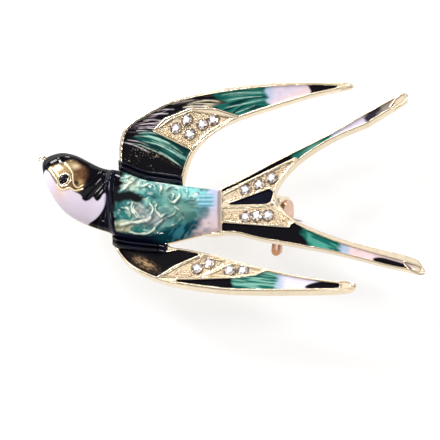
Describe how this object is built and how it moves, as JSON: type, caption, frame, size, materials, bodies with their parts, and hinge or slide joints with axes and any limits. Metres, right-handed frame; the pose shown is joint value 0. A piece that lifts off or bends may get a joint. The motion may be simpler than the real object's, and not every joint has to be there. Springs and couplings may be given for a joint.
{
  "type": "figural animal brooch",
  "caption": "Enamelled swallow brooch in gold plate with raised wings, forked tail, round set stones, and a hinged pin with a turning catch.",
  "frame": {"origin": "middle of the bounding box at the level of the surface that the brooch lies on", "axes": "+X from the head towards the tail, +Y towards the upper wing, +Z out of the decorated face"},
  "size_m": [0.0602, 0.0345, 0.0117],
  "materials": {
    "gold_plate": "polished plating",
    "rose_gold_plate": "polished plating",
    "pin_steel": "polished wire",
    "head_enamel": "glossy",
    "throat_enamel": "glossy",
    "body_enamel": "glossy, translucent",
    "rump_enamel": "glossy",
    "cord_enamel": "glossy",
    "wing_enamel": "glossy, ribbed",
    "wing_root_enamel": "glossy",
    "tail_enamel": "glossy",
    "tail_wedge_enamel": "glossy",
    "eye": "polished",
    "stones": "cut and polished, foiled back"
  },
  "bodies": {
    "brooch": {"casting": "gold_plate", "head_enamel": "head_enamel", "throat_enamel": "throat_enamel", "body_enamel": "body_enamel", "rump_enamel": "rump_enamel", "upper_cord_enamel": "cord_enamel", "lower_cord_enamel": "cord_enamel", "upper_wing_enamel": "wing_enamel", "lower_wing_root_enamel": "wing_root_enamel", "lower_wing_edge_enamel": "wing_enamel", "tail_upper_enamel": "tail_enamel", "tail_middle_enamel": "tail_wedge_enamel", "tail_lower_enamel": "tail_enamel", "eye_cabochon": "eye", "upper_wing_stone_1": "stones", "upper_wing_stone_2": "stones", "upper_wing_stone_3": "stones", "upper_wing_stone_4": "stones", "upper_wing_stone_5": "stones", "lower_wing_stone_1": "stones", "lower_wing_stone_2": "stones", "lower_wing_stone_3": "stones", "lower_wing_stone_4": "stones", "tail_stone_1": "stones", "tail_stone_2": "stones", "tail_stone_3": "stones", "tail_stone_4": "stones", "tail_stone_5": "stones", "tail_stone_6": "stones", "hinge_rivet": "gold_plate"},
    "stem": {"pin_stem": "pin_steel"},
    "rotor": {"catch_rotor": "rose_gold_plate"}
  },
  "joints": [
    {"name": "pin_hinge", "type": "hinge", "parent": "brooch", "child": "stem", "pos_m": [-0.01705, 0.00411, 0.0033], "axis": [0.2588, 0.9659, 0], "range_deg": [0, 85]},
    {"name": "catch_turn", "type": "hinge", "parent": "brooch", "child": "rotor", "pos_m": [0.00709, -0.00236, 0.0033], "axis": [0.9659, -0.2588, 0], "range_deg": [0, 60]}
  ]
}
